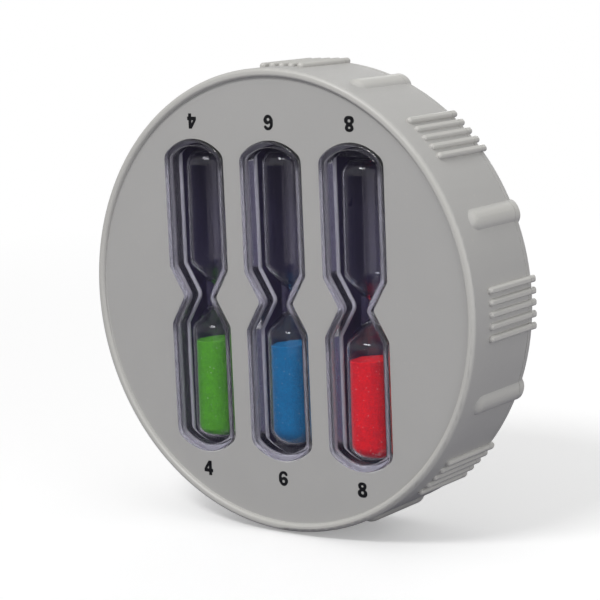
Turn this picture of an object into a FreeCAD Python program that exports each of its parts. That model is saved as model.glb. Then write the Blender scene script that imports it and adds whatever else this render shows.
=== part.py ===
"""Triple sand timer: a round plastic drum with three glass tubes of coloured sand behind clear windows.

The drum stands on its ribbed rim, its flat face to the front (-Y), +X to the right and +Z up.
All sizes are in millimetres. Every shape is first made around the drum's own axis: that axis is the
line x = 0, z = 0 along Y, and y = 0 is the plane of the flat face. export() then moves it into the
part's frame, whose origin is below the drum, on the surface it stands on, at mid-thickness.
"""
import FreeCAD, Part
import math
import os
from FreeCAD import Vector

# ---- driving dimensions ---------------------------------------------------------------------------
FACE_RADIUS = 45.3          # flat face, up to the crease at the foot of the rim bead
BEAD_HEIGHT = 0.8           # the rounded bead stands this far in front of the face
DRUM_RADIUS = 47.0          # side wall at the bead
WALL_DRAFT = 0.1            # the side wall is this much smaller at the rear edge
WALL = 1.8                  # side wall thickness
FACE_THICKNESS = 2.0
REAR_Y = 21.4               # rear surface of the cover
COVER_THICKNESS = 1.8
SEAM_GAP = 0.1              # fine line where the shell meets the cover

FOOT_RADIUS = 47.6          # from the axis to the flat crests of a rib group
GROUPS = 8                  # rib groups round the drum, one of them exactly below
RIBS_PER_GROUP = 5
RIB_PITCH_DEG = 2.83
RIB_ROUND = 0.72            # cross-section radius of a narrow rib
RIB_FRONT_Y = 4.6           # where the narrow ribs start
LAND = 0.05                 # depth of the flat land on each crest
WIDE_RIB_RADIUS = 47.8      # from the axis to the crest of a wide rib
WIDE_RIB_ROUND = 2.95
WIDE_RIB_FRONT_Y = 4.0

TUBE_PITCH = 19.5           # distance between neighbouring tubes
WINDOW_HALF_WIDTH = 7.6
WINDOW_SIDE_Z = 29.4        # where the straight side meets the arched end
WINDOW_APEX_Z = 35.6        # where the two slopes of the arched end would meet
WINDOW_ARCH = 10.2          # radius of the arched end
WINDOW_CORNER = 2.6         # rounding between the straight side and the arched end
WINDOW_SHOULDER_Z = 5.8
WINDOW_SHOULDER_ROUND = 1.8
WINDOW_NECK_HALF_WIDTH = 4.1
WINDOW_NECK_ROUND = 0.9
WINDOW_PROUD = 0.6          # the clear windows stand in front of the face by this much
WINDOW_PANE = 0.8           # thickness of the clear pane
WINDOW_WALL = 1.2           # thickness of the clear side walls
WINDOW_EDGE_ROUND = 0.4     # rounding of a window's front edge
WINDOW_CAVITY_ROUND = 0.2   # rounding of its hollow behind the pane
WINDOW_FIT = 0.12           # gap between a clear window and the edge of its opening
WINDOW_BASE = 1.2           # thickness of the plate that carries the three windows
PLATE_GAP = 0.04            # the plates behind the face lie this far apart

INNER_HALF_WIDTH = 28.9     # outline of the plates behind the face
INNER_HALF_HEIGHT = 34.3
INNER_CORNER = 5.0
FRAME_THICKNESS = 0.5
FRAME_LEDGE = 0.55          # the frame shows inside each window as a ledge this wide
FRAME_LEDGE_ROUND = 0.3
FRAME_LONGER = 0.8          # its openings reach this much further at each end
TRAY_DEPTH = 9.9
TRAY_WALL = 1.2
POCKET_HALF_WIDTH = 6.0
POCKET_HALF_HEIGHT = 33.1
POCKET_CORNER = 3.0

TUBE_RADIUS = 5.5
TUBE_HALF_LENGTH = 30.2
TUBE_TOP_ROUND = 3.2
TUBE_WALL = 0.6
TUBE_AXIS_Y = 6.2
TUBE_LEAN_DEG = 0.8         # the loose tubes lean back at the top
SHOULDER_Z = 6.5            # where a bulb starts to narrow
SHOULDER_ROUND = 2.4
NECK_RADIUS = 2.4
NECK_HALF_LENGTH = 3.0
NECK_ROUND = 1.0
NECK_BORE = 0.45            # radius of the fine hole that meters the sand
BORE_HALF_LENGTH = 1.9
SAND_GAP = 0.05             # between the sand and the glass
SAND_MOUND = 0.4            # the sand is this much higher in the middle
SAND_TILT_DEG = 4.0         # its surface rises to the right

BOSS_CIRCLE = 39.5          # the four screws sit on this radius
BOSS_ANGLES = (30, 150, 210, 330)
BOSS_RADIUS = 3.0
SCREW_RADIUS = 1.2
SCREW_FIT = 0.1             # clearance round the shank and the head in the cover
SCREW_LENGTH = 11.0
SCREW_HEAD_RADIUS = 2.5
SCREW_HEAD_DEPTH = 1.4
RECESS_HALF_LENGTH = 1.4    # the cross in a screw head
RECESS_HALF_WIDTH = 0.3
RECESS_DEPTH = 0.8
LIP_THICKNESS = 1.5         # ring on the cover that centres it in the shell
LIP_HEIGHT = 2.5
POST_RADIUS = 2.2
POST_HEIGHT_Z = 20.0
JOIN = 0.5                  # bosses and posts sink this far into the wall they stand on

CUSHION_FIT = 0.2           # play of a foam cushion in its trough

# Each blown tube by its running time in minutes: side of the drum, how far it has slid down, how
# much longer than usual its upper bulb is, rounding of its lower end, sand level.
TUBES = {
    "4": {"side": -1, "drop": 0.1, "longer": 0.1, "end_round": 2.4, "sand_top": -9.6},
    "6": {"side": 0, "drop": -0.1, "longer": 0.4, "end_round": 3.6, "sand_top": -9.1},
    "8": {"side": 1, "drop": 0.8, "longer": -0.2, "end_round": 3.2, "sand_top": -10.7},
}

# ---- derived planes along the depth ---------------------------------------------------------------
SEAM_Y = REAR_Y - COVER_THICKNESS
REAR_RADIUS = DRUM_RADIUS - WALL_DRAFT
INNER_RADIUS = REAR_RADIUS - WALL
PLATE_Y = FACE_THICKNESS + PLATE_GAP
PLATE_BACK_Y = PLATE_Y + WINDOW_BASE
FRAME_Y = PLATE_BACK_Y + PLATE_GAP
TRAY_Y = FRAME_Y + FRAME_THICKNESS
TRAY_BACK_Y = TRAY_Y + TRAY_DEPTH
MID_Y = (REAR_Y - BEAD_HEIGHT) / 2

ORIGIN = Vector(0, 0, 0)
X_AXIS = Vector(1, 0, 0)
DRUM_AXIS = Vector(0, 1, 0)
UP = Vector(0, 0, 1)


# ---- outlines -------------------------------------------------------------------------------------
def rounded_wire(corners, place):
    """A closed wire through corners (u, v, radius); place(u, v) puts a flat point into space."""
    ends = []
    count = len(corners)
    for i in range(count):
        u, v, radius = corners[i]
        here = Vector(u, v, 0)
        before = Vector(*corners[i - 1][:2], 0) - here
        after = Vector(*corners[(i + 1) % count][:2], 0) - here
        if radius == 0:
            ends.append((here, None, here))
            continue
        half = before.getAngle(after) / 2
        before.normalize()
        after.normalize()
        reach = radius / math.tan(half)
        middle = before + after
        middle.normalize()
        bow = middle * (radius / math.sin(half) - radius)
        ends.append((here + before * reach, here + bow, here + after * reach))
    edges = []
    for i in range(count):
        start, bow, end = ends[i]
        if bow is not None:
            arc = Part.Arc(place(start.x, start.y), place(bow.x, bow.y), place(end.x, end.y))
            edges.append(arc.toShape())
        following = ends[(i + 1) % count][0]
        if (following - end).Length > 1e-6:
            edges.append(Part.makeLine(place(end.x, end.y), place(following.x, following.y)))
    return Part.Wire(edges)


def turned(corners, axis=DRUM_AXIS):
    """A solid turned from a half profile of (radius, height, rounding) corners about an axis."""
    if axis == DRUM_AXIS:
        wire = rounded_wire(corners, lambda r, y: Vector(r, y, 0))
    else:
        wire = rounded_wire(corners, lambda r, z: Vector(r, 0, z))
    return Part.Face(wire).revolve(ORIGIN, axis, 360)


def slab(corners, y_front, y_rear, centre_x=0):
    """A plate between two depths with a rounded outline of (x, z, radius) corners."""
    wire = rounded_wire(corners, lambda x, z: Vector(x + centre_x, y_front, z))
    return Part.Face(wire).extrude(DRUM_AXIS * (y_rear - y_front))


def inset(corners, distance):
    """The same closed outline moved inwards; corners run anticlockwise, and inward bends stay tight."""
    count = len(corners)
    lines = []
    for i in range(count):
        x0, z0, _ = corners[i]
        x1, z1, _ = corners[(i + 1) % count]
        length = math.hypot(x1 - x0, z1 - z0)
        normal = (-(z1 - z0) / length, (x1 - x0) / length)
        lines.append((normal, normal[0] * x0 + normal[1] * z0 + distance))
    moved = []
    for i in range(count):
        (a, b), c = lines[i - 1]
        (d, e), f = lines[i]
        turn = a * e - b * d
        convex = turn > 0
        radius = corners[i][2] + (-distance if convex else distance / 2)
        moved.append(((c * e - b * f) / turn, (a * f - c * d) / turn, max(radius, 0.3)))
    return moved


def hourglass_outline(longer=0):
    """Window outline: straight sides, arched ends and a pinched waist, anticlockwise."""
    shoulder = (WINDOW_HALF_WIDTH, WINDOW_SHOULDER_Z, WINDOW_SHOULDER_ROUND)
    corner = (WINDOW_HALF_WIDTH, WINDOW_SIDE_Z + longer, WINDOW_CORNER)
    apex_z = WINDOW_APEX_Z + longer
    upper_right = [(WINDOW_NECK_HALF_WIDTH, 0, WINDOW_NECK_ROUND), shoulder, corner]
    upper_left = [(-x, z, r) for x, z, r in reversed(upper_right)]
    lower_left = [(-x, -z, r) for x, z, r in (shoulder, corner)]
    lower_right = [(x, -z, r) for x, z, r in (corner, shoulder)]
    top, bottom = (0, apex_z, WINDOW_ARCH), (0, -apex_z, WINDOW_ARCH)
    return upper_right + [top] + upper_left + lower_left + [bottom] + lower_right


def rectangle(half_width, half_height, corner):
    return [
        (half_width, -half_height, corner),
        (half_width, half_height, corner),
        (-half_width, half_height, corner),
        (-half_width, -half_height, corner),
    ]


def rounded_front_edges(solid, y_plane, radius):
    """Round every edge of a plate's holes or bosses that lies in one depth plane."""
    edges = [e for e in solid.Edges if all(abs(v.Point.y - y_plane) < 1e-6 for v in e.Vertexes)]
    return solid.makeFillet(radius, edges)


def tube_centres():
    return [tube["side"] * TUBE_PITCH for tube in TUBES.values()]


def on_circle(radius, degrees):
    angle = math.radians(degrees)
    return radius * math.cos(angle), radius * math.sin(angle)


def peg(x, z, radius, y_front, y_rear):
    return Part.makeCylinder(radius, y_rear - y_front, Vector(x, y_front, z), DRUM_AXIS)


# ---- grip ribs, which also are the feet ------------------------------------------------------------
def rib(crest, rounding, front_y):
    """One rib along the top of the drum, with a ball-shaped front end."""
    centre = Vector(0, front_y, crest - rounding)
    bar = Part.makeCylinder(rounding, REAR_Y - front_y, centre, DRUM_AXIS)
    return bar.fuse(Part.makeSphere(rounding, centre))


def rib_zone():
    """The ring the ribs may fill: outside the wall's core, with a rounded rear edge."""
    core = REAR_RADIUS - 0.9
    outer = WIDE_RIB_RADIUS + 0.4
    return turned([(core, 0, 0), (outer, 0, 0), (outer, REAR_Y, 1.0), (core, REAR_Y, 0)])


def ribs_all_round():
    """Groups of narrow ribs with levelled crests, and a single wide rib between every two groups."""
    zone = rib_zone()
    narrow = []
    for step in range(RIBS_PER_GROUP):
        offset = (step - RIBS_PER_GROUP // 2) * RIB_PITCH_DEG
        crest = (FOOT_RADIUS + LAND) / math.cos(math.radians(offset))
        one = rib(crest, RIB_ROUND, RIB_FRONT_Y + RIB_ROUND)
        narrow.append(one.rotated(ORIGIN, DRUM_AXIS, offset))
    level = Part.makeBox(20, REAR_Y, 10, Vector(-10, 0, FOOT_RADIUS - 10))
    group = narrow[0].multiFuse(narrow[1:]).common(zone).common(level)
    reach = math.sqrt(WIDE_RIB_ROUND**2 - (REAR_RADIUS - WIDE_RIB_RADIUS + WIDE_RIB_ROUND) ** 2)
    wide = rib(WIDE_RIB_RADIUS, WIDE_RIB_ROUND, WIDE_RIB_FRONT_Y + reach).common(zone)
    step_deg = 360 / GROUPS
    ribs = []
    for i in range(GROUPS):
        ribs.append(group.rotated(ORIGIN, DRUM_AXIS, i * step_deg))
        ribs.append(wide.rotated(ORIGIN, DRUM_AXIS, (i + 0.5) * step_deg))
    return Part.makeCompound(ribs)


def slice_of(shape, y_front, y_rear):
    size = 4 * DRUM_RADIUS
    return shape.common(Part.makeBox(size, y_rear - y_front, size, Vector(-size / 2, y_front, -size / 2)))


# ---- housing --------------------------------------------------------------------------------------
def front_shell(ribs):
    """Cup with the flat face, the rim bead, the ribbed wall, three openings and four screw bosses."""
    rim_y = SEAM_Y - SEAM_GAP / 2
    cup = turned([
        (0, 0, 0),
        (FACE_RADIUS, 0, 0.15),
        (FACE_RADIUS, -BEAD_HEIGHT, 0.6),
        (DRUM_RADIUS, -BEAD_HEIGHT, 0.8),
        (REAR_RADIUS, rim_y, 0.15),
        (INNER_RADIUS, rim_y, 0),
        (INNER_RADIUS, FACE_THICKNESS, 0.6),
        (0, FACE_THICKNESS, 0),
    ])
    for x in tube_centres():
        cup = cup.cut(slab(hourglass_outline(), -1, FACE_THICKNESS + 1, x))
    bosses = []
    for angle in BOSS_ANGLES:
        x, z = on_circle(BOSS_CIRCLE, angle)
        boss = peg(x, z, BOSS_RADIUS, FACE_THICKNESS - JOIN, rim_y)
        bosses.append(boss.cut(peg(x, z, SCREW_RADIUS + SCREW_FIT / 2, rim_y - SCREW_LENGTH, rim_y)))
    front_ribs = slice_of(ribs, 0, rim_y).Solids
    return cup.multiFuse(front_ribs + bosses)


def rear_cover(ribs):
    """Flat disc that closes the cup: locating lip, posts that press on the tray, sunk screw holes."""
    front_y = SEAM_Y + SEAM_GAP / 2
    lip_radius = INNER_RADIUS - 0.1
    disc = turned([
        (0, front_y, 0),
        (lip_radius - LIP_THICKNESS, front_y, 0),
        (lip_radius - LIP_THICKNESS, front_y - LIP_HEIGHT, 0),
        (lip_radius, front_y - LIP_HEIGHT, 0.4),
        (lip_radius, front_y, 0),
        (REAR_RADIUS, front_y, 0.15),
        (REAR_RADIUS, REAR_Y, 0.8),
        (0, REAR_Y, 0),
    ])
    posts = []
    for x in tube_centres():
        for z in (-POST_HEIGHT_Z, POST_HEIGHT_Z):
            posts.append(peg(x, z, POST_RADIUS, TRAY_BACK_Y, front_y + JOIN))
    cover = disc.multiFuse(slice_of(ribs, front_y, REAR_Y).Solids + posts)
    hole = SCREW_RADIUS + SCREW_FIT
    sink = SCREW_HEAD_RADIUS + SCREW_FIT
    for angle in BOSS_ANGLES:
        x, z = on_circle(BOSS_CIRCLE, angle)
        place = Vector(x, REAR_Y - SCREW_HEAD_DEPTH, z)
        flare = Part.makeCone(hole, sink, SCREW_HEAD_DEPTH, place, DRUM_AXIS)
        cover = cover.cut(peg(x, z, hole, SEAM_Y - 1, REAR_Y)).cut(flare)
    return cover


def cover_screws():
    """Four countersunk screws with cross recesses, through the cover into the bosses."""
    head_y = REAR_Y - SCREW_HEAD_DEPTH
    top_y = REAR_Y - SCREW_FIT
    shank_y = SEAM_Y - SCREW_LENGTH + 1.0
    tip_length = 0.8
    arm, slot = 2 * RECESS_HALF_LENGTH, 2 * RECESS_HALF_WIDTH
    screw = Part.makeCone(
        SCREW_RADIUS, SCREW_HEAD_RADIUS, top_y - head_y, Vector(0, head_y, 0), DRUM_AXIS)
    tip = Part.makeCone(0.3, SCREW_RADIUS, tip_length, Vector(0, shank_y - tip_length, 0), DRUM_AXIS)
    screw = screw.multiFuse([peg(0, 0, SCREW_RADIUS, shank_y, head_y), tip])
    for wide, high in ((arm, slot), (slot, arm)):
        corner = Vector(-wide / 2, top_y - RECESS_DEPTH, -high / 2)
        screw = screw.cut(Part.makeBox(wide, RECESS_DEPTH, high, corner))
    places = [on_circle(BOSS_CIRCLE, angle) for angle in BOSS_ANGLES]
    return Part.makeCompound([screw.translated(Vector(x, 0, z)) for x, z in places])


# ---- windows and what holds the tubes --------------------------------------------------------------
def clear_window():
    """One clear moulding: a plate behind the face with three hollow windows that pass through it."""
    plate = slab(rectangle(INNER_HALF_WIDTH, INNER_HALF_HEIGHT, INNER_CORNER), PLATE_Y, PLATE_BACK_Y)
    outer = inset(hourglass_outline(), WINDOW_FIT)
    hollow = inset(outer, WINDOW_WALL)
    pane_back_y = WINDOW_PANE - WINDOW_PROUD
    raised = []
    for x in tube_centres():
        boss = slab(outer, -WINDOW_PROUD, PLATE_BACK_Y, x)
        raised.append(rounded_front_edges(boss, -WINDOW_PROUD, WINDOW_EDGE_ROUND))
    body = plate.multiFuse(raised)
    for x in tube_centres():
        cavity = slab(hollow, pane_back_y, PLATE_BACK_Y + 1, x)
        body = body.cut(rounded_front_edges(cavity, pane_back_y, WINDOW_CAVITY_ROUND))
    return body


def tube_frame():
    """Thin pale plate behind the clear moulding; its rounded edges show as a ledge in each window."""
    plate = slab(rectangle(INNER_HALF_WIDTH, INNER_HALF_HEIGHT, INNER_CORNER), FRAME_Y, TRAY_Y)
    opening = inset(hourglass_outline(FRAME_LONGER), WINDOW_FIT + WINDOW_WALL + FRAME_LEDGE)
    for x in tube_centres():
        plate = plate.cut(slab(opening, FRAME_Y - 1, TRAY_Y + 1, x))
    inner_edges = []
    for edge in plate.Edges:
        middle = edge.CenterOfMass
        in_front = all(abs(v.Point.y - FRAME_Y) < 1e-6 for v in edge.Vertexes)
        in_window = abs(middle.x) < INNER_HALF_WIDTH - 1 and abs(middle.z) < INNER_HALF_HEIGHT - 1
        if in_front and in_window:
            inner_edges.append(edge)
    return plate.makeFillet(FRAME_LEDGE_ROUND, inner_edges)


def tube_tray():
    """Dark tray with one closed trough behind each window."""
    tray = slab(rectangle(INNER_HALF_WIDTH, INNER_HALF_HEIGHT, INNER_CORNER), TRAY_Y, TRAY_Y + TRAY_WALL)
    pocket = rectangle(POCKET_HALF_WIDTH, POCKET_HALF_HEIGHT, POCKET_CORNER)
    trough = inset(pocket, -TRAY_WALL)
    for x in tube_centres():
        tray = tray.fuse(slab(trough, TRAY_Y, TRAY_BACK_Y, x))
    for x in tube_centres():
        tray = tray.cut(slab(pocket, TRAY_Y - 1, TRAY_BACK_Y - TRAY_WALL, x))
    return tray


def settled(shape, tube):
    """Put a piece made round the Z axis into its trough: slid down and leaning back."""
    leaning = shape.rotated(ORIGIN, X_AXIS, -TUBE_LEAN_DEG)
    return leaning.translated(Vector(tube["side"] * TUBE_PITCH, TUBE_AXIS_Y, -tube["drop"]))


def bulbs(tube, wall, neck, shoulder_z, neck_z):
    """A tube's outside, or with a wall's thickness its inside: two bulbs joined by a narrow neck."""
    radius = TUBE_RADIUS - wall
    foot = [(0, -TUBE_HALF_LENGTH + wall, 0), (radius, -TUBE_HALF_LENGTH + wall, tube["end_round"] - wall)]
    waist = [(radius, -shoulder_z, SHOULDER_ROUND), (neck, -neck_z, NECK_ROUND)]
    waist += [(r, -z, rounding) for r, z, rounding in reversed(waist)]
    top_z = TUBE_HALF_LENGTH + tube["longer"] - wall
    return turned(foot + waist + [(radius, top_z, TUBE_TOP_ROUND - wall), (0, top_z, 0)], UP)


def glass_tube(tube):
    """Blown tube: the neck is left thick, with only a fine hole through it."""
    outside = bulbs(tube, 0, NECK_RADIUS, SHOULDER_Z, NECK_HALF_LENGTH)
    inside = bulbs(tube, TUBE_WALL, NECK_BORE, SHOULDER_Z + TUBE_WALL / 2, BORE_HALF_LENGTH)
    return settled(outside.cut(inside), tube)


def sand(tube):
    """The settled sand: fills the lower bulb up to a low, tilted mound."""
    radius = TUBE_RADIUS - TUBE_WALL - SAND_GAP
    floor = -TUBE_HALF_LENGTH + TUBE_WALL + SAND_GAP
    level = tube["sand_top"] + tube["drop"]
    end_round = tube["end_round"] - TUBE_WALL
    column = turned([(0, floor, 0), (radius, floor, end_round), (radius, 0, 0), (0, 0, 0)], UP)
    reach = 2 * TUBE_RADIUS
    summit = level + SAND_MOUND
    brim = summit - SAND_MOUND * reach / radius
    below = turned([(0, floor - reach, 0), (reach, floor - reach, 0), (reach, brim, 0), (0, summit, 0)], UP)
    below = below.rotated(Vector(0, 0, level), DRUM_AXIS, -SAND_TILT_DEG)
    return settled(column.common(below), tube)


def cushion(tube, upper):
    """Soft block between a tube's end and the end of its trough."""
    half_width = POCKET_HALF_WIDTH - CUSHION_FIT
    pocket_end = POCKET_HALF_HEIGHT - SAND_GAP
    if upper:
        low, high = TUBE_HALF_LENGTH + tube["longer"] - tube["drop"] + CUSHION_FIT, pocket_end
    else:
        low, high = -pocket_end, -TUBE_HALF_LENGTH - tube["drop"] - CUSHION_FIT
    depth = TRAY_DEPTH - TRAY_WALL - 2 * CUSHION_FIT
    corner = Vector(-half_width, TRAY_Y + CUSHION_FIT, low)
    block = Part.makeBox(2 * half_width, depth, high - low, corner)
    block = block.common(slab(rectangle(half_width, pocket_end, POCKET_CORNER), TRAY_Y, TRAY_BACK_Y))
    return block.translated(Vector(tube["side"] * TUBE_PITCH, 0, 0))


# ---- export ---------------------------------------------------------------------------------------
def export(name, shape):
    shape.translated(Vector(0, -MID_Y, FOOT_RADIUS)).exportStep("parts/" + name + ".step")


def main():
    os.makedirs("parts", exist_ok=True)
    ribs = ribs_all_round()
    export("front_shell", front_shell(ribs))
    export("rear_cover", rear_cover(ribs))
    export("cover_screws", cover_screws())
    export("clear_window", clear_window())
    export("tube_frame", tube_frame())
    export("tube_tray", tube_tray())
    for minutes, tube in TUBES.items():
        export("glass_tube_" + minutes, glass_tube(tube))
        export("sand_" + minutes, sand(tube))
        export("upper_cushion_" + minutes, cushion(tube, True))
        export("lower_cushion_" + minutes, cushion(tube, False))


main()
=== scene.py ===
"""Triple sand timer: a ribbed plastic drum on its rim, with three sand tubes behind clear windows.

All lengths are in metres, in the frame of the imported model: -Y out of the flat face, +X to the right, +Z up.
"""

import math

import bmesh
import bpy
from mathutils import Matrix, Vector, noise


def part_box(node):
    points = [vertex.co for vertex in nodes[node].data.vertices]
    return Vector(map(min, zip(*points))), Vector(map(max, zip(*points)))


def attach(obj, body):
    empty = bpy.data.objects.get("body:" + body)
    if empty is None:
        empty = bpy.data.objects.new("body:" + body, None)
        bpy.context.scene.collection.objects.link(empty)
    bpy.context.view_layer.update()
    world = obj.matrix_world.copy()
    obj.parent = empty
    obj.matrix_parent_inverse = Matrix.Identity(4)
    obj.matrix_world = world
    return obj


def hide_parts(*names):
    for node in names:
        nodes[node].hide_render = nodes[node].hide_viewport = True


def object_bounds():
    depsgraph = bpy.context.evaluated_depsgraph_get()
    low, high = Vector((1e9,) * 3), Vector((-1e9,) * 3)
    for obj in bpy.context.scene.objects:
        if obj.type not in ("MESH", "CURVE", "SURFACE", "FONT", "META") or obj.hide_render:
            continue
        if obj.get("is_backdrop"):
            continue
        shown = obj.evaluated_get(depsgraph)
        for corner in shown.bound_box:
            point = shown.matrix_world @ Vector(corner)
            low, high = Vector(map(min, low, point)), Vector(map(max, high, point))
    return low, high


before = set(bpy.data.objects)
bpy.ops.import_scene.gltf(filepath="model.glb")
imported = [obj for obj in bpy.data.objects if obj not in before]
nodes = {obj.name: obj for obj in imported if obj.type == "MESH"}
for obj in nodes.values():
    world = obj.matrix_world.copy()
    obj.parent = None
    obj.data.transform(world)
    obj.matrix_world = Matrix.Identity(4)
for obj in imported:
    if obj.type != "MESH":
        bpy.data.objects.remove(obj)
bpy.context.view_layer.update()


# ---- Housing ---------------------------------------------------------------------------------------
# Front cup and rear cover, two injection mouldings in warm light grey ABS with a fine spark-eroded
# satin skin. The ribs and the bead are handled most, so there the skin is rubbed smoother and paler;
# the paleness on their crests is partly that wear and partly a painted highlight.
def add_node(tree, kind, inputs=None, **settings):
    """A shader node; each input is either a value or the output socket that feeds it."""
    node = tree.nodes.new("ShaderNode" + kind)
    for name, value in settings.items():
        setattr(node, name, value)
    for socket, value in (inputs or {}).items():
        if isinstance(value, bpy.types.NodeSocket):
            tree.links.new(value, node.inputs[socket])
        else:
            node.inputs[socket].default_value = value
    return node


def spread(tree, value, low, high, from_low=0.0, from_high=1.0):
    """The value stretched from one range onto another and held inside it."""
    return add_node(tree, "MapRange", {
        "Value": value, "From Min": from_low, "From Max": from_high,
        "To Min": low, "To Max": high}).outputs["Result"]


def combine(tree, operation, first, second):
    """What one sum, such as MULTIPLY, makes of two values."""
    return add_node(tree, "Math", {0: first, 1: second}, operation=operation).outputs["Value"]


def own_place(tree):
    """Where a point of the surface lies on its own piece, in metres."""
    return add_node(tree, "TexCoord").outputs["Object"]


def facing(tree):
    """Which way the surface faces, as separate X, Y and Z sockets."""
    normal = add_node(tree, "NewGeometry").outputs["Normal"]
    return add_node(tree, "SeparateXYZ", {"Vector": normal}).outputs


def tinted(tree, colour, other, mask):
    """The colour where the mask is 0, the other colour where it is 1."""
    mix = add_node(tree, "Mix", data_type="RGBA", clamp_factor=True)
    # This node repeats its socket names for each kind of data, so those for colours go by number.
    for socket, value in ((mix.inputs[0], mask), (mix.inputs[6], colour), (mix.inputs[7], other)):
        if isinstance(value, bpy.types.NodeSocket):
            tree.links.new(value, socket)
        else:
            socket.default_value = value
    return mix.outputs[2]


def new_group(name, inputs, outputs):
    """A shader node group: its tree, the sockets that come in and the sockets that go out."""
    tree = bpy.data.node_groups.new(name, "ShaderNodeTree")
    for socket, value in inputs.items():
        kind = "NodeSocketColor" if isinstance(value, tuple) else "NodeSocketFloat"
        tree.interface.new_socket(socket, in_out="INPUT", socket_type=kind).default_value = value
    for socket, kind in outputs.items():
        tree.interface.new_socket(socket, in_out="OUTPUT", socket_type="NodeSocket" + kind)
    entry = tree.nodes.new("NodeGroupInput").outputs
    leave = tree.nodes.new("NodeGroupOutput").inputs
    return tree, entry, leave


def place_group(tree, group, values):
    """A group in a material, with the material's own values."""
    return add_node(tree, "Group", values, node_tree=group).outputs


def new_finish(name, constants):
    """A material, its node tree and its Principled shader with the constants set on it."""
    material = bpy.data.materials.new(name)
    material.use_nodes = True
    shader = material.node_tree.nodes["Principled BSDF"]
    for socket, value in constants.items():
        shader.inputs[socket].default_value = value
    return material, material.node_tree, shader


def feed(tree, shader, colour=None, roughness=None, height=None, relief=0.0, strength=1.0):
    """Varying colour and roughness into the shader, and a height map as bumps of this relief in metres."""
    if colour is not None:
        tree.links.new(colour, shader.inputs["Base Color"])
    if roughness is not None:
        tree.links.new(roughness, shader.inputs["Roughness"])
    if height is not None:
        bump = add_node(tree, "Bump", {"Height": height, "Distance": relief, "Strength": strength})
        tree.links.new(bump.outputs["Normal"], shader.inputs["Normal"])


def dress(node_name, material):
    """Give a carried-over node its finish."""
    data = nodes[node_name].data
    data.materials.clear()
    data.materials.append(material)


# The skin that a spark-eroded mould leaves: fine grains, and a cloudy unevenness of the resin.
moulded_grain, entry, leave = new_group(
    "moulded_grain", {"Grain": 2600.0, "Cloud": 60.0}, {"Height": "Float", "Mottle": "Float"})
place = own_place(moulded_grain)
grain = add_node(moulded_grain, "TexNoise", {
    "Vector": place, "Scale": entry["Grain"], "Detail": 3.0, "Roughness": 0.65})
cloud = add_node(moulded_grain, "TexNoise", {
    "Vector": place, "Scale": entry["Cloud"], "Detail": 5.0, "Roughness": 0.6})
moulded_grain.links.new(grain.outputs["Fac"], leave["Height"])
moulded_grain.links.new(spread(moulded_grain, cloud.outputs["Fac"], 0.0, 1.0, 0.3, 0.7), leave["Mottle"])

# Edges that hands and tables have rubbed: found where the surface turns within a short reach.
edge_rub, entry, leave = new_group("edge_rub", {"Reach": 0.0004, "Patches": 900.0}, {"Mask": "Float"})
softened = add_node(edge_rub, "Bevel", {"Radius": entry["Reach"]}, samples=6)
surface = add_node(edge_rub, "NewGeometry")
agreement = add_node(edge_rub, "VectorMath", {
    0: softened.outputs["Normal"], 1: surface.outputs["Normal"]}, operation="DOT_PRODUCT")
turned_edge = spread(edge_rub, agreement.outputs["Value"], 0.0, 1.0, 0.995, 0.9)
patches = add_node(edge_rub, "TexNoise", {
    "Vector": own_place(edge_rub), "Scale": entry["Patches"], "Detail": 4.0})
patchy = spread(edge_rub, patches.outputs["Fac"], 0.25, 1.0, 0.4, 0.62)
edge_rub.links.new(combine(edge_rub, "MULTIPLY", turned_edge, patchy), leave["Mask"])

# House dust: sparse specks, more of them on surfaces that face up.
settled_dust, entry, leave = new_group("settled_dust", {"Specks": 800.0, "Amount": 0.3}, {"Mask": "Float"})
specks = add_node(settled_dust, "TexVoronoi", {"Vector": own_place(settled_dust), "Scale": entry["Specks"]})
draw = add_node(settled_dust, "SeparateColor", {"Color": specks.outputs["Color"]})
speck_radius = spread(settled_dust, draw.outputs["Red"], 0.0, 0.22, 0.75, 1.0)
on_speck = combine(settled_dust, "LESS_THAN", specks.outputs["Distance"], speck_radius)
upward = spread(settled_dust, facing(settled_dust)["Z"], 0.3, 1.0, -0.2, 0.8)
dusty = combine(settled_dust, "MULTIPLY", on_speck, upward)
settled_dust.links.new(combine(settled_dust, "MULTIPLY", dusty, entry["Amount"]), leave["Mask"])

# Finger marks and wipe streaks: broad soft patches where the gloss is a little duller.
finger_marks, entry, leave = new_group("finger_marks", {"Size": 90.0, "Streak": 3.0}, {"Mask": "Float"})
marks = add_node(finger_marks, "TexNoise", {
    "Vector": own_place(finger_marks), "Scale": entry["Size"], "Distortion": entry["Streak"],
    "Detail": 6.0, "Roughness": 0.6})
finger_marks.links.new(spread(finger_marks, marks.outputs["Fac"], 0.0, 1.0, 0.48, 0.72), leave["Mask"])

RIB_HEIGHT = 0.0007
BEAD_HEIGHT = 0.0008
SKIN_RELIEF = 0.00003
CLOUDING = 0.55
CREST_WEAR_AND_HIGHLIGHT = 0.9
PALER_BY_RUB_AND_HIGHLIGHT = 0.8
RUBBED_SMOOTHER = 0.12
MARKS_DULLER = 0.05
shell_low, shell_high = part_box("front_shell")
shell_radius = (shell_high[0] - shell_low[0]) / 2
FACE_Y = shell_low[1] + BEAD_HEIGHT
AXIS_Z = (shell_low[2] + shell_high[2]) / 2
ABS_GREY = (0.515, 0.508, 0.492, 1)
ABS_RUBBED_AND_HIGHLIT = (0.66, 0.65, 0.61, 1)
ABS_CLOUDED = (0.485, 0.48, 0.465, 1)
DUST = (0.62, 0.60, 0.56, 1)
material, tree, shader = new_finish("grey_abs", {"IOR": 1.52})
skin = place_group(tree, moulded_grain, {"Grain": 2600.0, "Cloud": 70.0})
rub = place_group(tree, edge_rub, {"Reach": 0.00045, "Patches": 700.0})["Mask"]
dust = place_group(tree, settled_dust, {"Specks": 650.0, "Amount": 0.35})["Mask"]
marks = place_group(tree, finger_marks, {"Size": 75.0, "Streak": 2.0})["Mask"]
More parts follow.
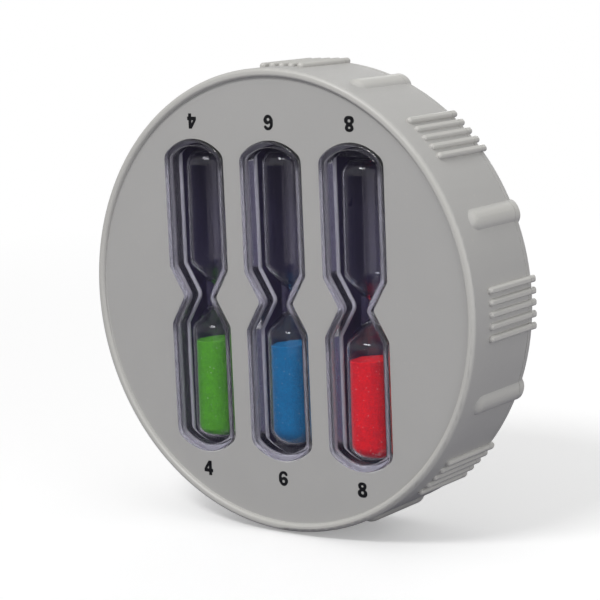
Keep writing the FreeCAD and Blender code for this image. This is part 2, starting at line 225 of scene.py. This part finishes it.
colour = tinted(tree, ABS_GREY, ABS_CLOUDED, combine(tree, "MULTIPLY", skin["Mottle"], CLOUDING))
place = add_node(tree, "SeparateXYZ", {"Vector": own_place(tree)}).outputs
up = combine(tree, "SUBTRACT", place["Z"], AXIS_Z)
outward = add_node(tree, "CombineXYZ", {"X": place["X"], "Z": up}).outputs["Vector"]
from_axis = add_node(tree, "VectorMath", {0: outward}, operation="LENGTH").outputs["Value"]
# Painted highlight: the crests of the ribs and the bead are made paler, on top of real rubbing.
rib_crest = spread(tree, from_axis, 0.0, 1.0, shell_radius - RIB_HEIGHT, shell_radius)
bead_crest = spread(tree, place["Y"], 0.0, 1.0, FACE_Y, FACE_Y - BEAD_HEIGHT)
crest_wear_and_highlight = combine(tree, "MAXIMUM", rib_crest, bead_crest)
rub = combine(tree, "MAXIMUM", rub, combine(tree, "MULTIPLY", crest_wear_and_highlight, CREST_WEAR_AND_HIGHLIGHT))
colour = tinted(tree, colour, ABS_RUBBED_AND_HIGHLIT, combine(tree, "MULTIPLY", rub, PALER_BY_RUB_AND_HIGHLIGHT))
colour = tinted(tree, colour, DUST, dust)
roughness = spread(tree, skin["Height"], 0.38, 0.5, 0.3, 0.7)
roughness = combine(tree, "ADD", roughness, combine(tree, "MULTIPLY", marks, MARKS_DULLER))
roughness = combine(tree, "SUBTRACT", roughness, combine(tree, "MULTIPLY", rub, RUBBED_SMOOTHER))
feed(tree, shader, colour, roughness, skin["Height"], SKIN_RELIEF, 0.5)
for name in ("front_shell", "rear_cover"):
    dress(name, material)


# ---- Printed minutes -------------------------------------------------------------------------------
# Six bold figures pad-printed in black on the face, one beyond each end of each window. The upper
# row is printed upside down, so that it reads the right way up once the timer is turned over.
FIGURE_HEIGHT = 0.0031
FIGURE_WIDTH = 0.0023
FIGURE_FROM_AXIS = 0.0362
INK_THICKNESS = 0.00002
INK_RELIEF = 0.000008
INK_BLACK = (0.003, 0.003, 0.004, 1)
INK_THIN = (0.012, 0.012, 0.013, 1)

# The figures' outlines in tenths of their height, each an outside followed by its holes.
STRAIGHT, ROUND = "VECTOR", "AUTO"
FIGURES = {
    "4": (
        (STRAIGHT, ((0.2, 5), (2.8, 5), (2.8, -0.5), (3.8, -0.5), (3.8, -2.9), (2.8, -2.9), (2.8, -5),
                    (0.2, -5), (0.2, -2.9), (-3.8, -2.9), (-3.8, -0.8))),
        (STRAIGHT, ((0.2, -0.5), (0.2, 1.5), (-1.2, -0.5))),
    ),
    "6": (
        (ROUND, ((0, 5), (2.9, 3.9), (3.2, 2.3), (2.1, 1.9), (1.2, 2.6), (0, 3.1), (-1.1, 2.2), (-1.2, 0.8),
                 (0.6, 1.3), (3.1, 0), (3.3, -2.6), (0, -5), (-3.2, -2.7), (-3.6, 0), (-3.0, 3.1))),
        (ROUND, ((0, -0.9), (1.0, -1.9), (0, -2.9), (-1.0, -1.9))),
    ),
    "8": (
        (ROUND, ((0, 5), (2.9, 3.6), (2.8, 1.2), (2.2, 0.3), (3.4, -1.2), (2.9, -4.0), (0, -5),
                 (-2.9, -4.0), (-3.4, -1.2), (-2.2, 0.3), (-2.8, 1.2), (-2.9, 3.6))),
        (ROUND, ((0, 3.1), (0.8, 2.4), (0, 1.7), (-0.8, 2.4))),
        (ROUND, ((0, -0.9), (1.0, -1.9), (0, -2.9), (-1.0, -1.9))),
    ),
}


def add_piece(name, mesh, material):
    """A new piece of the timer, which moves with its one body."""
    piece = bpy.data.objects.new(name, mesh)
    bpy.context.scene.collection.objects.link(piece)
    mesh.materials.clear()
    mesh.materials.append(material)
    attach(piece, "root")
    return piece


def final_mesh(holder):
    """The mesh that an object has after its modifiers; the object itself is taken away."""
    bpy.context.scene.collection.objects.link(holder)
    mesh = bpy.data.meshes.new_from_object(holder.evaluated_get(bpy.context.evaluated_depsgraph_get()))
    bpy.data.objects.remove(holder)
    return mesh


def printed_figure(minutes, x, upright):
    """One printed figure: its filled outline, as thick as the ink, laid on the face."""
    outline = bpy.data.curves.new("outline", "CURVE")
    outline.dimensions = "2D"
    outline.fill_mode = "BOTH"
    outline.extrude = 0.5
    for kind, points in FIGURES[minutes]:
        spline = outline.splines.new("BEZIER")
        spline.bezier_points.add(len(points) - 1)
        spline.use_cyclic_u = True
        for knot, (across, up) in zip(spline.bezier_points, points):
            knot.co = (across, up, 0)
            knot.handle_left_type = knot.handle_right_type = kind
    mesh = final_mesh(bpy.data.objects.new("outline", outline))
    way = 1 if upright else -1
    centre = Vector((x, FACE_Y - INK_THICKNESS / 2, AXIS_Z - way * FIGURE_FROM_AXIS))
    wide = FIGURE_WIDTH / (max(v.co.x for v in mesh.vertices) - min(v.co.x for v in mesh.vertices))
    tall = FIGURE_HEIGHT / (max(v.co.y for v in mesh.vertices) - min(v.co.y for v in mesh.vertices))
    for vertex in mesh.vertices:
        across, up, out = vertex.co
        vertex.co = centre + Vector((way * wide * across, -INK_THICKNESS * out, way * tall * up))
    closed = bmesh.new()
    closed.from_mesh(mesh)
    bmesh.ops.remove_doubles(closed, verts=closed.verts, dist=INK_THICKNESS / 10)
    bmesh.ops.recalc_face_normals(closed, faces=closed.faces)
    closed.to_mesh(mesh)
    closed.free()
    return mesh


material, ink, shader = new_finish("black_ink", {"Specular IOR Level": 0.3})
cover = place_group(ink, moulded_grain, {"Grain": 9000.0, "Cloud": 1500.0})
dust = place_group(ink, settled_dust, {"Specks": 2500.0, "Amount": 0.2})["Mask"]
colour = tinted(ink, INK_BLACK, INK_THIN, cover["Mottle"])
colour = tinted(ink, colour, DUST, dust)
feed(ink, shader, colour, spread(ink, cover["Mottle"], 0.34, 0.5), cover["Height"], INK_RELIEF)
for minutes in ("4", "6", "8"):
    low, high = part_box("sand_" + minutes)
    for row, upright in (("lower", True), ("upper", False)):
        mesh = printed_figure(minutes, (low[0] + high[0]) / 2, upright)
        add_piece(f"printed_{minutes}_{row}", mesh, material)


# ---- Cover screws ----------------------------------------------------------------------------------
# Four small countersunk cross-head screws in bright zinc-plated steel. The plating is thin, cloudy
# and a little yellow, and the driver has scuffed the edges of the cross.
ZINC = (0.56, 0.55, 0.52, 1)
ZINC_CLOUDED = (0.42, 0.42, 0.40, 1)
STEEL_BARED = (0.78, 0.78, 0.79, 1)
PLATING_RELIEF = 0.00001
SCUFFED_SMOOTHER = 0.1
material, tree, shader = new_finish("zinc_plate", {"Metallic": 1.0})
plate = place_group(tree, moulded_grain, {"Grain": 6000.0, "Cloud": 700.0})
scuff = place_group(tree, edge_rub, {"Reach": 0.00018, "Patches": 3000.0})["Mask"]
colour = tinted(tree, tinted(tree, ZINC, ZINC_CLOUDED, plate["Mottle"]), STEEL_BARED, scuff)
roughness = spread(tree, plate["Mottle"], 0.26, 0.42)
roughness = combine(tree, "SUBTRACT", roughness, combine(tree, "MULTIPLY", scuff, SCUFFED_SMOOTHER))
feed(tree, shader, colour, roughness, plate["Height"], PLATING_RELIEF)
dress("cover_screws", material)


# ---- Clear windows ---------------------------------------------------------------------------------
# One moulding of clear styrene: a plate behind the face with three raised hourglass-shaped windows.
# The panes are polished, with a few finger marks, and their side walls keep the mould's duller skin.
STYRENE_TINT = (0.935, 0.93, 0.965, 1)
STYRENE_IOR = 1.58
WALL_ROUGHNESS = 0.24
MARK_ROUGHNESS = 0.02


def glass(name, colour, ior):
    """A clear finish that lets direct light through, so that what lies behind it isn't in the dark."""
    material, tree, shader = new_finish(name, {"Base Color": colour, "IOR": ior, "Transmission Weight": 1.0})
    clear = add_node(tree, "BsdfTransparent", {"Color": colour})
    path = add_node(tree, "LightPath")
    mix = add_node(tree, "MixShader", {"Fac": path.outputs["Is Shadow Ray"]})
    tree.links.new(shader.outputs["BSDF"], mix.inputs[1])
    tree.links.new(clear.outputs["BSDF"], mix.inputs[2])
    tree.links.new(mix.outputs["Shader"], tree.nodes["Material Output"].inputs["Surface"])
    return material, tree, shader


material, tree, shader = glass("clear_styrene", STYRENE_TINT, STYRENE_IOR)
marks = place_group(tree, finger_marks, {"Size": 160.0, "Streak": 1.5})["Mask"]
frontal = add_node(tree, "Math", {0: facing(tree)["Y"]}, operation="ABSOLUTE").outputs["Value"]
wall = spread(tree, frontal, WALL_ROUGHNESS, 0.0, 0.2, 0.75)
feed(tree, shader, None, combine(tree, "ADD", wall, combine(tree, "MULTIPLY", marks, MARK_ROUGHNESS)))
dress("clear_window", material)


# ---- Pale frame ------------------------------------------------------------------------------------
# A thin plate of pale grey styrene behind the windows. Its openings are a little smaller than the
# windows, so its polished edge shows as a light line along each window's wall.
FRAME_PALE = (0.48, 0.475, 0.50, 1)
FRAME_CLOUDED = (0.42, 0.415, 0.44, 1)
FRAME_RUBBED = (0.56, 0.555, 0.58, 1)
FRAME_DUST = (0.45, 0.44, 0.42, 1)
FRAME_RELIEF = 0.00001
material, tree, shader = new_finish("pale_styrene", {"IOR": STYRENE_IOR})
skin = place_group(tree, moulded_grain, {"Grain": 4000.0, "Cloud": 300.0})
rub = place_group(tree, edge_rub, {"Reach": 0.00025, "Patches": 1200.0})["Mask"]
dust = place_group(tree, settled_dust, {"Specks": 1500.0, "Amount": 0.25})["Mask"]
colour = tinted(tree, FRAME_PALE, FRAME_CLOUDED, skin["Mottle"])
colour = tinted(tree, tinted(tree, colour, FRAME_RUBBED, rub), FRAME_DUST, dust)
feed(tree, shader, colour, spread(tree, skin["Mottle"], 0.16, 0.3), skin["Height"], FRAME_RELIEF, 0.4)
dress("tube_frame", material)


# ---- Dark tray -------------------------------------------------------------------------------------
# A black polystyrene tray with one deep trough for each tube. Its mould is only roughly polished, and
# a little dust has settled on the lower end of each trough.
TRAY_BLACK = (0.022, 0.016, 0.046, 1)
TRAY_CLOUDED = (0.034, 0.027, 0.066, 1)
TRAY_RUBBED = (0.05, 0.048, 0.06, 1)
TRAY_RELIEF = 0.00002
material, tree, shader = new_finish("black_tray", {"IOR": 1.55})
skin = place_group(tree, moulded_grain, {"Grain": 3000.0, "Cloud": 180.0})
rub = place_group(tree, edge_rub, {"Reach": 0.0003, "Patches": 900.0})["Mask"]
dust = place_group(tree, settled_dust, {"Specks": 1400.0, "Amount": 0.12})["Mask"]
marks = place_group(tree, finger_marks, {"Size": 220.0, "Streak": 1.0})["Mask"]
colour = tinted(tree, TRAY_BLACK, TRAY_CLOUDED, skin["Mottle"])
colour = tinted(tree, colour, TRAY_RUBBED, combine(tree, "MULTIPLY", rub, 0.6))
colour = tinted(tree, colour, DUST, dust)
roughness = spread(tree, skin["Mottle"], 0.26, 0.4)
roughness = combine(tree, "ADD", roughness, combine(tree, "MULTIPLY", marks, 0.12))
feed(tree, shader, colour, roughness, skin["Height"], TRAY_RELIEF, 0.5)
dress("tube_tray", material)


# ---- Sand tubes ------------------------------------------------------------------------------------
# Three tubes of clear soda glass, drawn and closed in a flame. The flame leaves the neck thick and the
# surface slightly wavy, and sand dust dulls it a little in patches.
GLASS_TINT = (0.975, 0.985, 0.98, 1)
GLASS_WAVINESS = 0.00004
material, tree, shader = glass("soda_glass", GLASS_TINT, 1.5)
wave = place_group(tree, moulded_grain, {"Grain": 330.0, "Cloud": 140.0})
marks = place_group(tree, finger_marks, {"Size": 420.0, "Streak": 2.5})["Mask"]
feed(tree, shader, None, spread(tree, marks, 0.0, 0.03), wave["Mottle"], GLASS_WAVINESS, 0.2)
for minutes in ("4", "6", "8"):
    dress("glass_tube_" + minutes, material)


# ---- Sand ------------------------------------------------------------------------------------------
# Fine dyed quartz, sieved to about a fifth of a millimetre: green for 4 minutes, blue for 6 and red
# for 8. It has run through and lies in the lower bulbs, pressed against the glass. Its top, where it
# faces up, is painted darker as painted shade.
SAND_GRAIN = 0.0002
SAND_MESH = 0.00012
SAND_RELIEF = 0.00005
SAND_RIPPLE = 0.0018
SAND_RIPPLE_HEIGHT = 0.00022
GRAIN_RELIEF = 0.00004
UNDYED = (0.75, 0.72, 0.66, 1)
SANDS = {
    "4": ("green_sand", (0.10, 0.41, 0.012, 1)),
    "6": ("blue_sand", (0.002, 0.185, 0.41, 1)),
    "8": ("red_sand", (0.93, 0.01, 0.01, 1)),
}


def reshaped_solid(node_name, mesh_size, move):
    """The node's solid in small even faces, with each point then moved as its place and normal say."""
    holder = bpy.data.objects.new("solid", nodes[node_name].data.copy())
    grid = holder.modifiers.new("grid", "REMESH")
    grid.mode = "VOXEL"
    grid.voxel_size = mesh_size
    mesh = final_mesh(holder)
    moves = [move(vertex.co, vertex.normal) for vertex in mesh.vertices]
    for vertex, step in zip(mesh.vertices, moves):
        vertex.co += step
    mesh.shade_smooth()
    return mesh


def sand_grains(place, normal):
    """Each grain bulges to the surface and the gaps between grains sink in; the top is rippled too."""
    gap = noise.voronoi(place / SAND_GRAIN)[0][0]
    sunk = -SAND_RELIEF * min(gap, 1.0) ** 2
    looseness = max(0.0, normal.z) ** 2
    ripple = SAND_RIPPLE_HEIGHT * noise.noise(place / SAND_RIPPLE) * looseness
    return normal * sunk + Vector((0, 0, ripple))


dyed_grains, entry, leave = new_group(
    "dyed_grains", {"Dye": (0.5, 0.5, 0.5, 1), "Grains": 5000.0},
    {"Color": "Color", "Gloss": "Float", "Height": "Float"})
place = own_place(dyed_grains)
cells = add_node(dyed_grains, "TexVoronoi", {"Vector": place, "Scale": entry["Grains"]})
draw = add_node(dyed_grains, "SeparateColor", {"Color": cells.outputs["Color"]})
clumps = add_node(dyed_grains, "TexNoise", {"Vector": place, "Scale": 450.0, "Detail": 4.0})
by_grain = spread(dyed_grains, draw.outputs["Red"], 0.8, 1.16)
by_clump = spread(dyed_grains, clumps.outputs["Fac"], 0.95, 1.05, 0.35, 0.65)
# Painted shade: the faces of the sand that look up are darkened.
painted_top_shade = spread(dyed_grains, facing(dyed_grains)["Z"], 1.0, 0.72, 0.4, 0.95)
shade = combine(dyed_grains, "MULTIPLY", combine(dyed_grains, "MULTIPLY", by_grain, by_clump), painted_top_shade)
dyed = add_node(dyed_grains, "VectorMath", {0: entry["Dye"], "Scale": shade}, operation="SCALE")
# About seven grains in a thousand have taken less dye.
undyed = spread(dyed_grains, draw.outputs["Green"], 0.0, 0.3, 0.992, 0.994)
dyed_grains.links.new(tinted(dyed_grains, dyed.outputs["Vector"], UNDYED, undyed), leave["Color"])
dyed_grains.links.new(draw.outputs["Blue"], leave["Gloss"])
dyed_grains.links.new(spread(dyed_grains, cells.outputs["Distance"], 1.0, 0.0), leave["Height"])

for minutes, (slot, dye) in SANDS.items():
    material, tree, shader = new_finish("dyed_sand_" + minutes, {"Specular IOR Level": 0.12})
    grains = place_group(tree, dyed_grains, {"Dye": dye, "Grains": 1 / SAND_GRAIN})
    roughness = spread(tree, grains["Gloss"], 0.45, 0.95)
    feed(tree, shader, grains["Color"], roughness, grains["Height"], GRAIN_RELIEF)
    heap = reshaped_solid("sand_" + minutes, SAND_MESH, sand_grains)
    piece = add_piece("sand_heap_" + minutes, heap, material)
    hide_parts("sand_" + minutes)


# ---- Foam cushions ---------------------------------------------------------------------------------
# Die-cut blocks of soft black closed-cell foam between each tube's ends and its trough, where they hold
# the glass without breaking it. The cut sides show opened cells, and the faces crown slightly.
FOAM_PORE = 0.00055
FOAM_MESH = 0.0002
FOAM_RELIEF = 0.00012
FOAM_CROWN = 0.00015
FOAM_BUMPS = 0.0001
PORE_STEEPNESS = 3
FOAM_BLACK = (0.008, 0.008, 0.009, 1)
FOAM_WALLS = (0.03, 0.03, 0.032, 1)


def foam_shape(node_name):
    """How far each point of a block moves: out to a low crown, and in at each pore."""
    low, high = (Vector(corner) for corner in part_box(node_name))
    centre, half = (low + high) / 2, (high - low) / 2

    def move(place, normal):
        crown = FOAM_CROWN
        for i in range(3):
            across_face = abs(normal[i]) < 0.5
            if across_face:
                crown *= max(0.0, 1 - ((place[i] - centre[i]) / half[i]) ** 2)
        nearest, second = noise.voronoi(place / FOAM_PORE)[0][:2]
        pore = min(1.0, PORE_STEEPNESS * (second - nearest))
        return normal * (crown - FOAM_RELIEF * pore)

    return move


material, tree, shader = new_finish("black_foam", {"IOR": 1.4, "Sheen Weight": 0.25, "Sheen Roughness": 0.5})
pores = add_node(
    tree, "TexVoronoi", {"Vector": own_place(tree), "Scale": 1 / FOAM_PORE}, feature="DISTANCE_TO_EDGE")
fuzz = place_group(tree, moulded_grain, {"Grain": 5000.0, "Cloud": 400.0})
cell_walls = spread(tree, pores.outputs["Distance"], 1.0, 0.0, 0.0, 0.25)
colour = tinted(tree, FOAM_BLACK, FOAM_WALLS, cell_walls)
feed(tree, shader, colour, spread(tree, fuzz["Height"], 0.8, 1.0), cell_walls, FOAM_BUMPS)
for minutes in ("4", "6", "8"):
    for end in ("upper", "lower"):
        node_name = f"{end}_cushion_{minutes}"
        block = reshaped_solid(node_name, FOAM_MESH, foam_shape(node_name))
        piece = add_piece(f"{end}_foam_{minutes}", block, material)
        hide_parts(node_name)


# ---- Floor -----------------------------------------------------------------------------------------
# A plain pale table top under the rim of the drum, which fades into the white surroundings. To what the
# drum mirrors it shows a painted reflection, dim and bluish but for a painted lit stretch to the right,
# and to bounced light it shows a darker tone, which paints shade on the drum's underside.
FLOOR_RADIUS = 6.0
FADE_FROM, FADE_TO = 0.1, 0.5
LIT_FROM, LIT_TO = 0.22, 0.26
LIT_ANGLE = math.radians(3)
LIT_SOFTNESS = 0.01
WHITE = (1, 1, 1, 1)
SEEN_TONE, SEEN_GLOW = (0.86, 0.86, 0.86, 1), 0.27
PAINTED_REFLECTION_DIM = (0.07, 0.06, 0.13, 1)
PAINTED_REFLECTION_LIT = (0.60, 0.57, 0.66, 1)
PAINTED_SHADE_FOR_BOUNCE = (0.27, 0.27, 0.30, 1)
bpy.ops.mesh.primitive_circle_add(vertices=128, radius=FLOOR_RADIUS, fill_type="NGON")
floor = bpy.context.object
floor.name = "floor"
material, tree, shader = new_finish(
    "pale_table", {"Roughness": 0.7, "Specular IOR Level": 0.2, "Emission Color": WHITE})
place = own_place(tree)
reach = add_node(tree, "VectorMath", {0: place}, operation="LENGTH").outputs["Value"]
lit_side = (math.cos(LIT_ANGLE), math.sin(LIT_ANGLE), 0)
across = add_node(tree, "VectorMath", {0: place, 1: lit_side}, operation="DOT_PRODUCT").outputs["Value"]
on_lit_side = spread(tree, across, 0.0, 1.0, -LIT_SOFTNESS, LIT_SOFTNESS)
lit = combine(tree, "MULTIPLY", on_lit_side, spread(tree, reach, 0.0, 1.0, LIT_FROM, LIT_TO))
path = add_node(tree, "LightPath").outputs
seen = path["Is Camera Ray"]
# Painted reflection for mirrors, with a painted lit stretch; a darker painted tone for bounce, painting shade
# under the drum.
painted_reflection = tinted(tree, PAINTED_REFLECTION_DIM, PAINTED_REFLECTION_LIT, lit)
painted_reflection_and_bounce_shade = tinted(tree, painted_reflection, PAINTED_SHADE_FOR_BOUNCE, path["Is Diffuse Ray"])
tree.links.new(tinted(tree, painted_reflection_and_bounce_shade, SEEN_TONE, seen), shader.inputs["Base Color"])
tree.links.new(combine(tree, "MULTIPLY", seen, SEEN_GLOW), shader.inputs["Emission Strength"])
far = combine(tree, "MULTIPLY", spread(tree, reach, 0.0, 1.0, FADE_FROM, FADE_TO), seen)
white = add_node(tree, "Emission", {"Color": WHITE})
mix = add_node(tree, "MixShader", {"Fac": far})
tree.links.new(shader.outputs["BSDF"], mix.inputs[1])
tree.links.new(white.outputs["Emission"], mix.inputs[2])
tree.links.new(mix.outputs["Shader"], tree.nodes["Material Output"].inputs["Surface"])
floor.data.materials.append(material)
floor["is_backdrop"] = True


# ---- Light -----------------------------------------------------------------------------------------
# Even room light, one small soft box high in front of the face that draws the glints on the glass,
# and two broad weak ones: on the right for the ribbed wall and behind for the rear cover.
ROOM_LIGHT = 0.51
LAMP_DISTANCE = 0.8


def softbox(name, direction, width, height, power):
    """A soft light that faces the drum; its power is in watts."""
    lamp = bpy.data.lights.new(name, "AREA")
    lamp.shape = "RECTANGLE"
    lamp.size, lamp.size_y = width, height
    lamp.energy = power
    holder = bpy.data.objects.new(name, lamp)
    towards = Vector(direction).normalized()
    holder.location = Vector((0, 0, AXIS_Z)) + towards * LAMP_DISTANCE
    holder.rotation_euler = towards.to_track_quat("Z", "Y").to_euler()
    holder.visible_camera = False
    bpy.context.scene.collection.objects.link(holder)


softbox("key", (-0.05, -0.65, 0.75), width=0.30, height=0.15, power=2.7)
softbox("fill", (0.9, -0.28, 0.06), width=0.5, height=0.5, power=1.8)
softbox("rear", (-0.25, 0.95, 0.15), width=0.4, height=0.4, power=1.5)

world = bpy.data.worlds.new("studio")
bpy.context.scene.world = world
world.use_nodes = True
tree = world.node_tree
room = tree.nodes["Background"]
room.inputs["Color"].default_value = WHITE
seen = add_node(tree, "LightPath").outputs["Is Camera Ray"]
tree.links.new(spread(tree, seen, ROOM_LIGHT, 1.0), room.inputs["Strength"])


# ---- Camera ----------------------------------------------------------------------------------------
# A long lens, a little above the middle of the drum and well round to its right. It is tipped slightly
# about its own line of sight, and placed by what it looks at, from which side and from how far.
AIM = Vector((0.0038, -0.0073, 0.0480))
AZIMUTH = math.radians(36.67)
ELEVATION = math.radians(9.52)
ROLL = math.radians(2.36)
DISTANCE = 0.4115
LENS_MM = 123.2
back = Vector((
    math.sin(AZIMUTH) * math.cos(ELEVATION), -math.cos(AZIMUTH) * math.cos(ELEVATION), math.sin(ELEVATION)))
turn = back.to_track_quat("Z", "Y").to_matrix() @ Matrix.Rotation(-ROLL, 3, "Z")
camera = bpy.data.objects.new("camera", bpy.data.cameras.new("camera"))
camera.data.lens = LENS_MM
camera.data.clip_start = 0.01
camera.matrix_world = Matrix.Translation(AIM + back * DISTANCE) @ turn.to_4x4()
bpy.context.scene.collection.objects.link(camera)
bpy.context.scene.camera = camera
bpy.context.scene.view_settings.view_transform = "Standard"

low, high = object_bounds()
